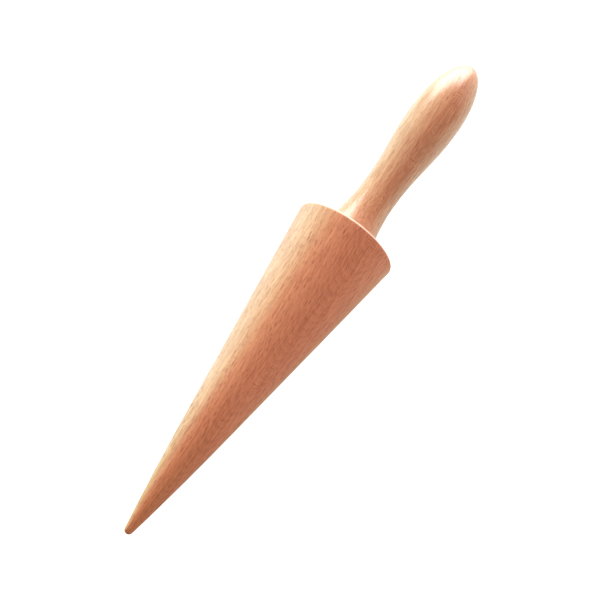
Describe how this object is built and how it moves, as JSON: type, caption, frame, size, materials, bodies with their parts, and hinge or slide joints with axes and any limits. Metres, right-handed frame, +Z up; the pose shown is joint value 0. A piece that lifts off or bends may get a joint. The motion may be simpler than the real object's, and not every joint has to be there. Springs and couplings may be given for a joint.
{
  "type": "wood edge slicker",
  "caption": "Long tapered wooden cone with a blunt tip and a turned, swelling handle, for rubbing cut leather edges smooth.",
  "frame": {"origin": "centre of the cone's flat rear face, on the axis that the whole tool is turned about", "axes": "The tool lies on its tapered side on a level bench. +X runs level from the cone's tip towards the handle, with the turning axis in the XZ plane, 7.6 degrees above +X. +Z is up from the bench, which is 20.98 mm below the origin. +Y is level, across the tool."},
  "size_m": [0.228, 0.042, 0.0417],
  "materials": {
    "cone_wood": "fine sanded and waxed, satin, straight-grained pinkish beech",
    "handle_wood": "fine sanded and waxed, satin, straight-grained pale beech",
    "wood_glue": "hardened wood glue, matte, pale yellow"
  },
  "bodies": {
    "root": {"cone": "cone_wood", "handle": "handle_wood", "glue_line": "wood_glue"}
  },
  "joints": []
}
